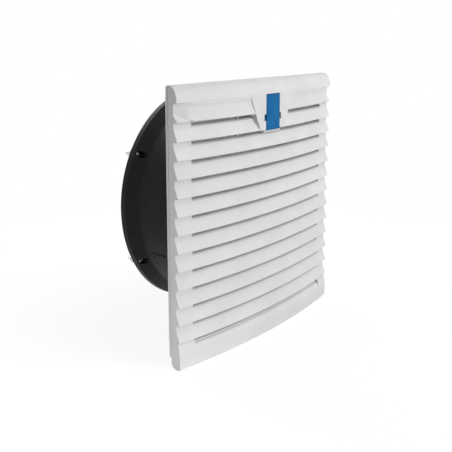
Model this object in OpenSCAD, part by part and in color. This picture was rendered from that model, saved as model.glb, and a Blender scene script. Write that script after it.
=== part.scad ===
// Cabinet filter fan: a louvred cover swings down from a snap-in frame, with a round fan behind it.
// Origin on the fan axis in the mounting plane, +Y into the cabinet, +Z up. Millimetres.

/* [Front cover] */
// Width of the cover and of the frame flange behind it
panel_w = 323; // [316:1:332]
// Top edge of the cover above the fan axis
cover_top = 155.5; // [154:0.5:158]
// Lower lip of the cover below the fan axis
cover_drop = 167.5; // [166:0.5:170]
// Depth of the cover at its side edges, from the mounting plane to the louvre tips
side_depth = 15.8; // [15:0.1:17]
// Bow of the front across its width
front_bow = 14; // [11:0.5:16]
// Height of the top bar above the first louvre tip
top_bar_h = 18.6; // [17:0.1:20]
// Depth that the rounded top bar rises through
top_bar_in = 10.3; // [9:0.1:11]
// Height of the bottom bar below the last louvre tip
bottom_bar_h = 33.1; // [31:0.1:35]
// Height of the rounded shoulder of the bottom bar
shoulder_h = 20; // [16:0.5:22]
// Number of open slots
slot_count = 13; // [11:1:14]
// Length of the open slots
slot_len = 274; // [262:1:280]
// Step under each louvre tip
tooth = 5.1; // [4.6:0.1:5.6]
// Height of the upright part under each tip
flat_h = 7; // [6:0.1:8]
// Height of the upright part under the top bar
first_flat = 13; // [11:0.5:14]
// Depth of the shallow step under the top bar
faint_step = 1.2; // [0.8:0.1:1.6]
// Distance of that step from the side edges
band_in = 3.5; // [3:0.5:6]
// Length of the ramp at each end of that step
ramp_l = 16; // [10:1:18]
// Thickness of the louvre blades
blade_t = 2.1; // [1.8:0.1:2.4]
// Depth of the rounded sill at the top of each blade
sill_in = 6.5; // [6:0.1:7]
// Height of that sill
sill_up = 3; // [2.6:0.1:3.4]
// Wall of the cover
cover_wall = 2.5; // [2.2:0.1:2.8]
// Gap between the closed cover and the flange
cover_gap = 0.3; // [0.2:0.05:0.5]

/* [Cover hinge] */
// Radius of the rounded lower rear corner, which turns about its own centre
corner_r = 8; // [7.5:0.1:8.5]
// Distance of each hinge from the middle
hinge_x = 100; // [85:1:115]
// Width of the frame's hinge lugs
lug_w = 6; // [5:0.5:8]
// Width of the cover's hinge ears
ear_w = 4; // [3:0.5:5]
// Diameter of the hinge pins
hinge_pin_d = 3; // [2.6:0.1:3.4]
// Clearance at each side of a hinge lug
lug_gap = 0.4; // [0.3:0.05:0.6]
// Radial clearance of pins and shafts that turn in their holes
run_fit = 0.04; // [0.02:0.01:0.08]
// Radial clearance of pins and pieces that are pressed in
press_gap = 0.02; // [0.01:0.01:0.04]

/* [Latch] */
// Width of the release lever
lever_w = 28; // [26:0.5:31]
// Height of the release lever
lever_h = 43; // [41:0.5:44]
// Drop of the lever's middle below the top edge of the cover
latch_drop = 39.4; // [38.5:0.1:40.5]
// Drop of the lever's pivot below its middle
pivot_drop = 4.1; // [3:0.1:6]
// Depth of the pivot behind the front
pivot_in = 5.8; // [5.5:0.1:6.5]
// Thickness of the lever plate
lever_t = 3; // [2.5:0.1:3.4]
// Gap around the lever
lever_gap = 0.6; // [0.4:0.05:0.8]
// Diameter of the latch pin
latch_pin_d = 3; // [2.6:0.1:3.4]
// Width of the lever's hook and of the frame's catch
hook_w = 12; // [10:0.5:16]
// Clearance between the hook and the catch lip
hook_gap = 0.8; // [0.6:0.1:1.2]
// Width of the raised shield around the lever, at its top
shield_top_w = 90; // [84:1:96]
// Width of the raised shield at its bottom
shield_low_w = 52; // [48:1:58]

/* [Frame] */
// Side of the square cut-out in the cabinet wall
cutout = 291; // [288:1:292]
// Gap between the collar and the cut-out
cutout_gap = 1; // [0.6:0.1:1.4]
// Height of the frame flange
flange_h = 311; // [309:0.5:313]
// Thickness of the frame flange
flange_t = 2.6; // [2.4:0.1:3]
// Wall of the collar
collar_wall = 2.5; // [2:0.1:3]
// Depth of the frame behind the mounting plane
collar_depth = 16; // [15:0.5:18]
// Thickness of the frame's rear wall
rear_t = 2.5; // [2:0.1:3]
// Spacing of the ribs that carry the filter
rib_pitch = 30; // [29:0.5:31]
// Thickness of those ribs
rib_t = 2; // [1.6:0.1:2.4]
// Height of the ribs in front of the rear wall
rib_h = 5; // [4.5:0.1:5.5]
// Width of the snap-in tongues
clip_w = 14; // [12:0.5:18]
// Distance of the tongues from the middle
clip_x = 80; // [70:1:90]
// Height of the tongue's barb
clip_h = 3.4; // [3:0.1:3.8]
// Thickness of the cabinet wall that the barbs grip
grip = 2.5; // [2.2:0.1:3]
// Distance between the flange's screw holes across the width
fix_x = 310; // [309:0.5:311]
// Distance between the flange's screw holes up the height
fix_z = 301; // [300:0.5:302]
// Diameter of the flange's screw holes
fix_d = 4.3; // [3.6:0.1:4.6]

/* [Gasket and filter] */
// Width of the gasket
gasket_w = 4; // [3:0.1:4.4]
// Thickness of the gasket in its groove
gasket_t = 1.2; // [1:0.1:1.4]
// Distance of the gasket from the collar
gasket_in = 2; // [1.6:0.1:2.4]
// Width of the filter mat
mat_w = 280; // [270:1:282]
// Height of the filter mat
mat_h = 270; // [260:1:272]
// Drop of the mat's middle below the fan axis
mat_drop = 2.5; // [2:0.5:4]
// Thickness of the filter mat
mat_t = 14; // [10:0.5:15]

/* [Fan barrel] */
// Diameter of the rear rim
rim_d = 277.2; // [275:0.2:279]
// Diameter of the bore
bore_d = 252; // [250:0.5:253]
// Wall of the barrel
barrel_wall = 3; // [2.6:0.1:3.4]
// Depth of the fan behind the frame
fan_depth = 81; // [80:0.5:84]
// Width of the rear rim's edge
rim_t = 8; // [7:0.5:9]
// Length of the flare in front of the rim
flare_l = 14; // [12:0.5:16]
// Diameter of the front flange of the barrel
ring_d = 277; // [275:0.5:279]
// Thickness of the front flange of the barrel
ring_t = 4; // [3.5:0.1:5]
// Circle of the screws between fan and frame
fan_pcd = 267; // [265:0.5:268]
// Diameter of the fan's screws
screw_d = 4; // [3.5:0.1:4.4]
// Number of spokes that carry the motor
spoke_n = 4; // [3:1:6]
// Width of the spokes
spoke_w = 8; // [6:0.5:10]
// Depth of the spokes
spoke_t = 10; // [8:0.5:11]

/* [Finger guard] */
// Circle of the guard's screws
guard_pcd = 266.4; // [265.6:0.2:267.2]
// Number of the guard's screws
guard_n = 6; // [4:1:6]
// Diameter of the pockets for the screw heads
pocket_d = 8.2; // [7.8:0.1:8.2]
// Diameter of the guard's radial wires
spoke_wire_d = 3; // [2.6:0.1:3.4]
// Diameter of the guard's ring wires
ring_wire_d = 2.2; // [1.8:0.1:2.6]
// Radius of the smallest guard ring
ring_first = 34; // [28:1:38]
// Spacing of the guard rings
ring_step = 18; // [17:0.25:18]
// Number of guard rings
ring_n = 6; // [4:1:6]

/* [Motor and impeller] */
// Diameter of the rotor can
can_d = 92; // [88:0.5:94]
// Wall of the rotor can
can_wall = 2.5; // [2:0.1:3]
// Front of the rotor can behind the frame
can_in = 11; // [10:0.5:12]
// Length of the rotor can
can_l = 44; // [43:0.5:46]
// Air gap between stator and rotor
air_gap = 0.5; // [0.4:0.05:0.6]
// Thickness of the rotor ring
core_t = 4.5; // [4:0.1:5]
// Diameter of the motor shaft
shaft_d = 8; // [7:0.1:9]
// Wall of the bearings
bearing_wall = 4; // [3.5:0.1:4.5]
// Wall of the bearing tube
tube_wall = 2.5; // [2:0.1:3]
// Wall of the impeller's hub sleeve
hub_t = 2.5; // [2.2:0.1:3]
// Number of impeller blades
vane_n = 7; // [5:1:7]
// Gap between the blade tips and the bore
tip_gap = 3.5; // [2.5:0.1:5]
// Thickness of the impeller blades
vane_t = 2.4; // [2:0.1:3]
// Chord of the impeller blades at the hub
hub_chord = 46; // [40:1:48]
// Chord of the impeller blades at the tip
tip_chord = 76; // [66:1:78]
// Blade angle at the hub, from the plane of rotation
hub_angle = 42; // [38:1:46]
// Blade angle at the tip
tip_angle = 26; // [22:1:28]
// Forward sweep of the blade tips
vane_sweep = 16; // [8:1:22]

/* [Terminals] */
// Width of the terminal block
block_w = 34; // [32:0.5:36]
// Height of the terminal block
block_h = 16; // [15:0.5:18]
// Depth of the terminal block
block_d = 20; // [18:0.5:24]
// Distance of the block's middle from the fan axis, across and down
block_at = 119; // [118:0.5:120]

/* [Hidden] */
$fn = 64;
half_w = panel_w / 2;
span = panel_w / 2;
front_y = -side_depth - front_bow;
arc_r = (half_w * half_w + front_bow * front_bow) / (2 * front_bow);
arc_y = arc_r + front_y;
arc_a = asin(half_w / arc_r) + 0.7;
tip_top = cover_top - top_bar_h;
tip_end = bottom_bar_h - cover_drop;
pitch = (tip_top - tip_end) / slot_count;
slope_z = (pitch - flat_h) / tooth;
slope_c = slope_z / sqrt(1 + slope_z * slope_z);
slope_s = 1 / sqrt(1 + slope_z * slope_z);
skin_in = cover_wall + 0.3;
skin_up = 1.6;
blade_run = tooth + sill_in;
web_in = blade_run + cover_wall / 2;
slot_x = slot_len / 2;
back_y = -flange_t - cover_gap;
axis_y = back_y - corner_r;
axis_z = corner_r - cover_drop;
lug_r = hinge_pin_d / 2 + 2;
ear_x = lug_w / 2 + lug_gap;
pin_l = 2 * (ear_x + ear_w);
latch_z = cover_top - latch_drop;
open_w = lever_w + 2 * lever_gap;
open_z0 = latch_z - lever_h / 2 - lever_gap;
open_z1 = latch_z + lever_h / 2 + lever_gap;
pivot_y = front_y + pivot_in;
pivot_z = latch_z - pivot_drop;
barrel_r = latch_pin_d / 2 + 2.1;
pocket_wall = 2.2;
notch_w = 3.5;
shield_z0 = tip_z(2);
shield_z1 = tip_top + 1.2;
catch_y = -13.5;
catch_top = cover_top - cover_wall - 0.8;
catch_z = catch_top - 6.2;
collar_w = cutout - 2 * cutout_gap;
collar_in = collar_w - 2 * collar_wall;
rear_y = collar_depth - rear_t;
seat_y = rear_y - rib_h;
rib_n = floor((collar_in / 2 - rib_pitch / 2) / rib_pitch);
lug_root = collar_w / 2 + 7.5;
gasket_a = collar_w / 2 + gasket_in;
gasket_b = gasket_a + gasket_w;
bore_r = bore_d / 2;
barrel_out = bore_r + barrel_wall;
fan_y0 = collar_depth;
fan_y1 = fan_y0 + fan_depth;
rim_y = fan_y1 - rim_t;
flare_y = rim_y - flare_l;
bell_r = bore_r + 4;
head_h = 2.7;
head_r = screw_d / 2 + 1.5;
boss_l = 10;
floor_y = fan_y1 - 7.5;
guard_r = guard_pcd / 2;
eye_r = screw_d / 2 + spoke_wire_d / 2 + 0.5;
wire_y = fan_y1 + spoke_wire_d / 2;
ring_y = fan_y1 + spoke_wire_d + ring_wire_d / 2 - 0.3;
washer_y = fan_y1 + spoke_wire_d;
washer_t = 1;
nut_y = washer_y + washer_t;
nut_t = 3.2;
can_y0 = fan_y0 + can_in;
can_y1 = can_y0 + can_l;
can_r = can_d / 2;
core_out = can_r - can_wall - press_gap;
core_in = core_out - core_t;
stack_r = core_in - air_gap;
shaft_r = shaft_d / 2;
bearing_r = shaft_r + bearing_wall;
tube_r = bearing_r + press_gap;
tube_out = tube_r + tube_wall;
base_y = can_y1 + 4;
base_t = 8;
tube_y0 = can_y0 + 9;
bearing_l = 5;
stack_in = 18;
stack_y = can_y0 + stack_in;
stack_l = 20;
head_l = 7;
spoke_y = base_y + 1;
hub_in = can_r + press_gap;
hub_out = hub_in + hub_t;
root_r = (hub_in + hub_out) / 2;
vane_tip = bore_r - tip_gap;
vane_y = (can_y0 + can_y1) / 2;

// Height of louvre tip i, counted from the top bar
function tip_z(i) = tip_top - pitch * i;

// Quarter ellipse from its top (s0, z0 + h) to its front (s0 - d, z0), as depth and height
function quarter(s0, z0, d, h) = [for (k = [0:8]) [s0 - d * sin(k * 11.25), z0 + h * cos(k * 11.25)]];

// Depth of the louvre tips at distance x from the middle
function front_at(x) = arc_y - sqrt(arc_r * arc_r - x * x);

function reversed(p) = [for (k = [len(p) - 1:-1:0]) p[k]];

// Saw-tooth outline of the closed ends, from the top bar down
function saw() = [for (i = [0:slot_count]) each [
    [0, tip_z(i)],
    [tooth, tip_z(i)],
    [tooth, tip_z(i) - (i == 0 ? first_flat : i == slot_count ? 3 : flat_h)]]];

function moved(p, d) = [for (q = p) q + d];

function rect(s0, s1, z0, z1) = [[s0, z0], [s1, z0], [s1, z1], [s0, z1]];

// Front of the bottom bar from height z0 to the lip
function bar_front(z0) = concat(
    quarter(tooth, tip_end - shoulder_h, tooth, z0 - tip_end + shoulder_h),
    [[0, 2 - cover_drop], [0.6, 0.6 - cover_drop], [2, -cover_drop]]);

// Sweeps an outline of depth behind the front and height along the bow, between two planes across X
module bowed(pts, x0, x1) {
    intersection() {
        translate([0, arc_y, 0])
            rotate([0, 0, -90 - arc_a])
                rotate_extrude(angle = 2 * arc_a, $fn = 720)
                    polygon([for (p = pts) [arc_r - p[0], p[1]]]);
        translate([x0, -span, -2 * span])
            cube([x1 - x0, 2 * span, 4 * span]);
    }
}

// Same sweep at both ends of the cover
module bowed_ends(pts, x0, x1) {
    bowed(pts, x0, x1);
    bowed(pts, -x1, -x0);
}

// Extrudes an outline in Y and Z along X, centred on x
module across(x, w) {
    translate([x - w / 2, 0, 0])
        rotate([90, 0, 90])
            linear_extrude(w)
                children();
}

// Turns a shape built along Z so that it runs along +Y
module along_y() {
    rotate([-90, 0, 0])
        children();
}

// Cylinder along +Y at polar angle a and radius r, from y0 to y1
module post(r, a, d, y0, y1) {
    rotate([0, -a, 0])
        translate([r, y0, 0])
            along_y()
                cylinder(h = y1 - y0, d = d);
}

// Rounded rectangle centred on the origin
module rounded(w, h, r) {
    square([w - 2 * r, h], center = true);
    square([w, h - 2 * r], center = true);
    for (x = [-1, 1], y = [-1, 1])
        translate([x * (w / 2 - r), y * (h / 2 - r)])
            circle(r);
}

// Plate in the X-Z plane between two depths
module plate(y0, y1) {
    translate([0, y1, 0])
        rotate([90, 0, 0])
            linear_extrude(y1 - y0)
                children();
}

// Side outline of the cover: flat back, rounded lower rear corner, drawn in by e at the bottom
module cover_side(e) {
    translate([-span, axis_z])
        square([span + back_y, cover_top - axis_z]);
    translate([-span, e - cover_drop])
        square([span + axis_y, corner_r + 1]);
    translate([axis_y, axis_z])
        circle(corner_r - e);
}

// Outline of a rounded sill from its foot at height z over the top and down its rear
function sill(z) = concat(
    reversed(quarter(tooth + sill_in, z, sill_in, sill_up)),
    [[tooth + sill_in, z + sill_up - blade_t], [tooth + blade_t + 0.6, z + 0.6]]);

// Louvre blade i between the slot ends, up to its sill
module blade(i) {
    z = tip_z(i);
    bowed(moved(concat([[0, z]], sill(z + tooth * slope_z), [[blade_t / slope_c, z]]), [0.05, 0]),
        -slot_x - 1, slot_x + 1);
}

// Closed band between the top bar and the first slot, filled up to the closed ends behind it
module first_band() {
    z = tip_top - 2.9;
    x = half_w - band_in;
    difference() {
        union() {
            bowed([[0.05, tip_top + 1], [0.05, z], [faint_step, z], [faint_step, tip_z(1) + 9], [0.05, tip_z(1)],
                [blade_t / slope_c, tip_z(1)], [faint_step + cover_wall, tip_z(1) + 8],
                [faint_step + cover_wall, tip_top + 1]], -x, x);
            bowed_ends([[faint_step + 1.2, tip_top + 0.8], [tooth + 1.4, tip_top + 0.8],
                [tooth + 1.4, tip_top - first_flat + 1.1], [tooth / 2, tip_z(1) + 3.4]], slot_x + 0.5, x - 0.1);
        }
        // ramp at each end
        for (m = [0, 1])
            mirror([m, 0, 0])
                translate([0, 0, tip_z(2)])
                    linear_extrude(3 * pitch)
                        polygon([[x - ramp_l, front_at(x - ramp_l)], [x, front_at(x) + tooth + 0.3],
                            [x + band_in, front_at(x) + tooth], [x, -span]]);
    }
}

// Bottom bar with its floor from height z0 at its shoulder, open to the rear and drawn in by e
module bottom_bar(z0, x0, x1, e) {
    inner = quarter(tooth + cover_wall, tip_end - shoulder_h, tooth, z0 - cover_wall - tip_end + shoulder_h);
    intersection() {
        bowed(moved(concat(bar_front(z0), [[2.5, 0.1 - cover_drop], [span, 0.1 - cover_drop],
            [span, cover_wall - 0.1 - cover_drop], [cover_wall, cover_wall - 0.1 - cover_drop]], reversed(inner)),
            [e, e]), x0, x1);
        across(0, panel_w + 2) {
            translate([-span, -cover_drop - 1])
                square([span - 2 + axis_y, span]);
            translate([-span, cover_wall + 2 - cover_drop])
                square([span, span]);
        }
    }
}

// Sill that leads the air over the bottom bar
module bottom_lip() {
    z = tip_end - flat_h;
    bowed(concat([[tooth - 2 * slope_s, z - 2 * slope_c]], moved(sill(z), [0.02, 0]),
        [[tooth + blade_t - 2 * slope_s, z - 2 * slope_c]]), -slot_x - 1, slot_x + 1);
}

// Raised shield around the lever, drawn in X and Z, narrowed by an inset at each side
module shield(inset) {
    plate(-span, back_y)
        polygon([[inset - shield_top_w / 2, shield_z1], [shield_top_w / 2 - inset, shield_z1],
            [shield_low_w / 2 - inset, shield_z0 + inset], [inset - shield_low_w / 2, shield_z0 + inset]]);
}

module cover_shell() {
    // saw-tooth ends with the rib that closes the slots, and the side walls
    skin = concat(saw(), reversed(moved(saw(), [skin_in, skin_up])));
    bowed_ends(skin, slot_x, half_w);
    bowed_ends(concat([[0.6, tip_top + 1.2]], moved(saw(), [0.3, 0]),
        [[web_in, tip_end - flat_h - 3], [web_in, tip_top + 1.2]]), slot_x - 0.8, slot_x + 1.7);
    intersection() {
        bowed_ends(concat(moved(quarter(top_bar_in, tip_top, top_bar_in, top_bar_h), [0.1, 0]),
            moved(saw(), [0.1, 0]), moved(bar_front(tip_end - 1), [0.1, 0]),
            [[span, -cover_drop], [span, cover_top]]), half_w - cover_wall, half_w);
        across(0, panel_w)
            cover_side(0.05);
    }
    // top bar
    bowed(concat(quarter(top_bar_in, tip_top, top_bar_in, top_bar_h),
        reversed(quarter(top_bar_in, tip_top, top_bar_in - cover_wall, top_bar_h - cover_wall))),
        -half_w, half_w);
    intersection() {
        bowed(rect(top_bar_in - 0.3, span, cover_top - cover_wall, cover_top), -half_w, half_w);
        across(0, panel_w)
            cover_side(0.05);
    }
    // blades between the ends, tied together by two stiffeners behind them
    first_band();
    for (i = [2:slot_count])
        blade(i);
    bowed_ends(rect(blade_run - 1, web_in + 1, tip_end - flat_h + sill_up - blade_t / 2, tip_z(1)),
        slot_len / 5, slot_len / 5 + 2);
    // bottom bar and its rounded lower rear corner
    bottom_bar(tip_end - flat_h, -slot_x - 1, slot_x + 1, 0.05);
    bottom_lip();
    bottom_bar(tip_end - 1, -half_w, -slot_x, 0);
    bottom_bar(tip_end - 1, slot_x, half_w, 0);
    across(0, panel_w - cover_wall) {
        difference() {
            union() {
                translate([axis_y, axis_z])
                    circle(corner_r);
                translate([axis_y, axis_z])
                    square([corner_r, 4]);
            }
            translate([axis_y, axis_z])
                circle(corner_r - cover_wall);
            translate([axis_y - 20, axis_z])
                square([20 + corner_r - cover_wall, 20]);
            translate([axis_y - 20, axis_z - 20])
                square([20, 40]);
        }
        translate([axis_y - 4, -cover_drop])
            square([4, cover_wall]);
    }
    // hinge ears
    for (s = [-1, 1], e = [-1, 1])
        translate([0, axis_y, axis_z])
            rotate([0, 90, 0])
                translate([0, 0, s * hinge_x + e * (ear_x + ear_w / 2)])
                    cylinder(h = ear_w, r = corner_r - cover_wall + 0.7, center = true);
    // shield with its skirt, and the walls of the lever pocket
    intersection() {
        bowed(rect(-0.2, cover_wall, shield_z0 - pitch, shield_z1 + pitch), -half_w, half_w);
        shield(0);
    }
    intersection() {
        bowed(rect(1, blade_run + 0.5, shield_z0 - pitch, shield_z1 + pitch), -half_w, half_w);
        difference() {
            shield(0);
            shield(pocket_wall);
        }
    }
    bowed(rect(1, web_in + 3, open_z0 - pocket_wall, open_z1 - 0.1), -open_w / 2 - pocket_wall,
        open_w / 2 + pocket_wall);
}

module front_cover() {
    color([0.84, 0.84, 0.83])
        difference() {
            cover_shell();
            // lever opening, pin holes and the slots that the pin is put in through
            translate([-open_w / 2, -span, open_z0])
                cube([open_w, span, open_z1 - open_z0]);
            translate([-open_w, pivot_y, pivot_z])
                rotate([0, 90, 0])
                    cylinder(h = 2 * open_w, d = latch_pin_d + 2 * press_gap);
            for (s = [-1, 1])
                translate([s * (open_w / 2 + notch_w / 2 - 0.1), front_y, pivot_z - 2])
                    cube([notch_w + 0.2, 2 * (pivot_in - latch_pin_d / 2 - 1), 8], center = true);
            // notches for the frame's lugs, and the hinge bores
            for (s = [-1, 1])
                translate([s * hinge_x - ear_x, axis_y - lug_r - 2, -cover_drop - 1])
                    cube([2 * ear_x, 30, 2 * corner_r + 1]);
            for (s = [-1, 1])
                translate([s * hinge_x - pin_l / 2 - 1, axis_y, axis_z])
                    rotate([0, 90, 0])
                        cylinder(h = pin_l + 2, d = hinge_pin_d + 2 * run_fit);
        }
}

module latch_lever() {
    w = lever_w / 2;
    z0 = latch_z - lever_h / 2;
    z1 = latch_z + lever_h / 2;
    arm = 2.6;
    hook_top = catch_z - hook_gap;
    arm_z = hook_top - 2.2;
    color([0.11, 0.40, 0.62])
        difference() {
            union() {
                bowed(rect(-0.4, lever_t - 0.4, z0, z1), -w, w);
                // finger edge along the bottom
                bowed(rect(-1.2, lever_t - 0.4, z0, z0 + 3), -w, w);
                translate([-w, pivot_y, pivot_z])
                    rotate([0, 90, 0])
                        cylinder(h = lever_w, r = barrel_r);
                across(0, hook_w)
                    polygon([[front_y + lever_t - 1, z0 + 4], [pivot_y, pivot_z - barrel_r],
                        [pivot_y, pivot_z + barrel_r], [pivot_y + 2, z1 - 8], [pivot_y + 3, arm_z - arm],
                        [catch_y + 4, arm_z - arm], [catch_y + 4, hook_top], [catch_y + 1, hook_top],
                        [catch_y + 1, arm_z], [pivot_y - 0.4, arm_z], [pivot_y - 0.8, z1],
                        [front_y + lever_t - 1, z1 - 2]]);
            }
            translate([-w - 1, pivot_y, pivot_z])
                rotate([0, 90, 0])
                    cylinder(h = lever_w + 2, d = latch_pin_d + 2 * run_fit);
        }
}

module latch_pin() {
    l = open_w + 2 * pocket_wall;
    color([0.75, 0.75, 0.76])
        translate([-l / 2, pivot_y, pivot_z])
            rotate([0, 90, 0])
                cylinder(h = l, d = latch_pin_d);
}

module hinge_pins() {
    color([0.75, 0.75, 0.76])
        for (s = [-1, 1])
            translate([s * hinge_x - pin_l / 2, axis_y, axis_z])
                rotate([0, 90, 0])
                    cylinder(h = pin_l, d = hinge_pin_d);
}

// Snap-in tongue with its barb on the top of the collar
module tongue() {
    translate([-clip_w / 2, grip - 0.5, collar_w / 2 - collar_wall])
        cube([clip_w, rear_y - grip, collar_wall]);
    across(0, clip_w)
        polygon([[grip, collar_w / 2 - 0.5], [grip, collar_w / 2 + clip_h], [grip + 2, collar_w / 2 + clip_h],
            [rear_y - 1.5, collar_w / 2 - 0.5]]);
}

// Root inside the flange in front of the gasket, between the collar and distance z below the axis
module root(z) {
    near = min(z - 4.5, collar_in / 2 + 0.5);
    far = max(z, collar_w / 2 - 0.5);
    translate([0.3 - flange_t, -far])
        square([flange_t - gasket_t - 0.5, far - near]);
    translate([0.3 - flange_t, 0.5 - collar_w / 2])
        square([flange_t + 0.2, collar_wall - 1]);
}

// Hinge lug on the front of the flange
module hinge_lug() {
    across(0, lug_w)
        difference() {
            union() {
                translate([axis_y, axis_z])
                    circle(lug_r);
                polygon([[axis_y - 0.5, axis_z + lug_r - 0.04], [axis_y, axis_z - lug_r], [axis_y + 2, axis_z - lug_r],
                    [-flange_t + 0.5, -lug_root], [-flange_t + 0.5, lug_r - lug_root], [-flange_t, lug_r - lug_root]]);
                root(lug_root);
            }
            translate([axis_y, axis_z])
                circle(d = hinge_pin_d + 2 * press_gap);
        }
}

// Catch that the lever's hook drops out of
module catch_lip() {
    across(0, hook_w + 6)
        polygon([[0.5 - flange_t, catch_top], [catch_y - 2.5, catch_top], [catch_y - 2.5, catch_z],
            [catch_y, catch_z], [catch_y, catch_top - 2.2], [-flange_t - 3, catch_top - 2.2],
            [-flange_t, catch_top - 5], [0.5 - flange_t, catch_top - 5]]);
    mirror([0, 0, 1])
        across(0, hook_w)
            root(catch_top - 0.5);
}

// Flange and collar with the round air hole and the gasket's groove
module frame_shell() {
    difference() {
        union() {
            plate(-flange_t, 0)
                rounded(panel_w, flange_h, 3);
            plate(-0.5, collar_depth)
                rounded(collar_w, collar_w, 4);
        }
        plate(-flange_t - 1, rear_y)
            rounded(collar_in, collar_in, 2);
        along_y()
            translate([0, 0, rear_y - 1])
                cylinder(h = rear_t + 2, r = bell_r);
        plate(-gasket_t, 1)
            difference() {
                rounded(2 * gasket_b, 2 * gasket_b, 5);
                rounded(2 * gasket_a, 2 * gasket_a, 3);
            }
        // windows around the tongues
        for (x = [-1, 1], z = [-1, 1])
            translate([x * clip_x - clip_w / 2 - 1.5, 0.5, z * (collar_w - collar_wall) / 2 - 3])
                cube([clip_w + 3, rear_y - 2, 6]);
    }
}

module mounting_frame() {
    color([0.82, 0.82, 0.81])
        difference() {
            union() {
                frame_shell();
                // ribs that carry the filter
                for (k = [-rib_n - 1:rib_n])
                    translate([(k + 0.5) * rib_pitch - rib_t / 2, seat_y, -collar_in / 2 - 1])
                        cube([rib_t, rib_h + rear_t, collar_in + 2]);
                for (k = [-rib_n - 1:rib_n])
                    translate([-collar_in / 2 - 1, seat_y, (k + 0.5) * rib_pitch - rib_t / 2])
                        cube([collar_in + 2, rib_h + rear_t, rib_t]);
                for (x = [-1, 1], z = [0, 1])
                    translate([x * clip_x, 0, 0])
                        mirror([0, 0, z])
                            tongue();
                for (s = [-1, 1])
                    translate([s * hinge_x, 0, 0])
                        hinge_lug();
                catch_lip();
            }
            // screw holes
            for (x = [-1, 1], z = [-1, 1])
                translate([x * fix_x / 2, -flange_t - 1, z * fix_z / 2])
                    along_y()
                        cylinder(h = flange_t + 2, d = fix_d);
            for (a = [45:90:315])
                post(fan_pcd / 2, a, screw_d + 0.4, rear_y - 1, collar_depth + 1);
            for (x = [-1, 1])
                translate([block_at + x * (block_w / 2 - 3.5), rear_y - 1, -block_at])
                    along_y()
                        cylinder(h = rear_t + 2, d = 2.6 + 2 * press_gap);
        }
}

module gasket() {
    color([0.12, 0.12, 0.12])
        plate(-gasket_t, 0)
            difference() {
                rounded(2 * gasket_b - 0.1, 2 * gasket_b - 0.1, 5);
                rounded(2 * gasket_a + 0.1, 2 * gasket_a + 0.1, 3);
            }
}

module filter_mat() {
    color([0.93, 0.93, 0.90])
        translate([-mat_w / 2, seat_y - mat_t, -mat_drop - mat_h / 2])
            cube([mat_w, mat_t, mat_h]);
}

module fan_housing() {
    color([0.09, 0.09, 0.10])
        difference() {
            union() {
                along_y()
                    rotate_extrude()
                        polygon([[bell_r, fan_y0], [ring_d / 2, fan_y0], [ring_d / 2, fan_y0 + ring_t],
                            [barrel_out + 1, fan_y0 + ring_t], [barrel_out, fan_y0 + ring_t + 1],
                            [barrel_out, flare_y], [rim_d / 2, rim_y], [rim_d / 2, fan_y1 - 0.8],
                            [rim_d / 2 - 0.8, fan_y1], [barrel_out, fan_y1], [bore_r, fan_y1 - 9],
                            [bore_r, fan_y0 + 9], [bore_r + 0.4, fan_y0 + 6], [bore_r + 1.6, fan_y0 + 2.8]]);
                // bosses for the screws from the frame
                for (a = [45:90:315])
                    post(fan_pcd / 2, a, screw_d + 5.6, fan_y0 + 1, fan_y0 + boss_l);
                // motor base with its bearing tube, carried by the spokes
                along_y()
                    rotate_extrude()
                        polygon([[0, base_y + base_t - 2.5], [tube_r, base_y + base_t - 2.5], [tube_r, tube_y0],
                            [tube_out, tube_y0], [tube_out, base_y], [can_r - 4, base_y], [can_r, base_y + 2],
                            [can_r, base_y + base_t - 1], [can_r - 1, base_y + base_t], [0, base_y + base_t]]);
                for (k = [0:spoke_n - 1])
                    rotate([0, -45 - k * 360 / spoke_n, 0])
                        translate([can_r - 4, 0, 0])
                            rotate([90, 0, 90])
                                linear_extrude(bore_r + barrel_wall / 2 - can_r + 4)
                                    polygon([[spoke_y, 2 - spoke_w / 2], [spoke_y + 2.5, -spoke_w / 2],
                                        [spoke_y + spoke_t, 1 - spoke_w / 2], [spoke_y + spoke_t, spoke_w / 2 - 1],
                                        [spoke_y + 2.5, spoke_w / 2], [spoke_y, spoke_w / 2 - 2]]);
                // raised arrow that shows the air flow
                rotate([0, -205, 0])
                    translate([barrel_out - 0.7, 0, 0])
                        rotate([90, 0, 90])
                            linear_extrude(1.5)
                                polygon([[flare_y - 30, -1.2], [flare_y - 13, -1.2], [flare_y - 13, -4],
                                    [flare_y - 5, 0], [flare_y - 13, 4], [flare_y - 13, 1.2], [flare_y - 30, 1.2]]);
            }
            for (k = [0:guard_n - 1]) {
                post(guard_r, 30 + k * 360 / guard_n, pocket_d, flare_y - 2, floor_y);
                post(guard_r, 30 + k * 360 / guard_n, screw_d + 0.4, floor_y - 1, fan_y1 + 1);
            }
            for (a = [45:90:315])
                post(fan_pcd / 2, a, screw_d + 2 * press_gap, fan_y0 - 1, fan_y0 + boss_l - 1);
        }
}

module stator_core() {
    color([0.45, 0.46, 0.48])
        along_y()
            translate([0, 0, stack_y])
                difference() {
                    cylinder(h = stack_l, r = stack_r);
                    translate([0, 0, -1])
                        cylinder(h = stack_l + 2, r = tube_out + press_gap);
                }
}

module stator_windings() {
    ring = [[tube_out + 5, 0], [stack_r - 3, 0], [stack_r - 3, head_l - 2], [stack_r - 5, head_l],
        [tube_out + 7, head_l], [tube_out + 5, head_l - 2]];
    color([0.72, 0.43, 0.22])
        along_y() {
            translate([0, 0, stack_y + stack_l])
                rotate_extrude()
                    polygon(ring);
            translate([0, 0, stack_y])
                mirror([0, 0, 1])
                    rotate_extrude()
                        polygon(ring);
        }
}

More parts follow.
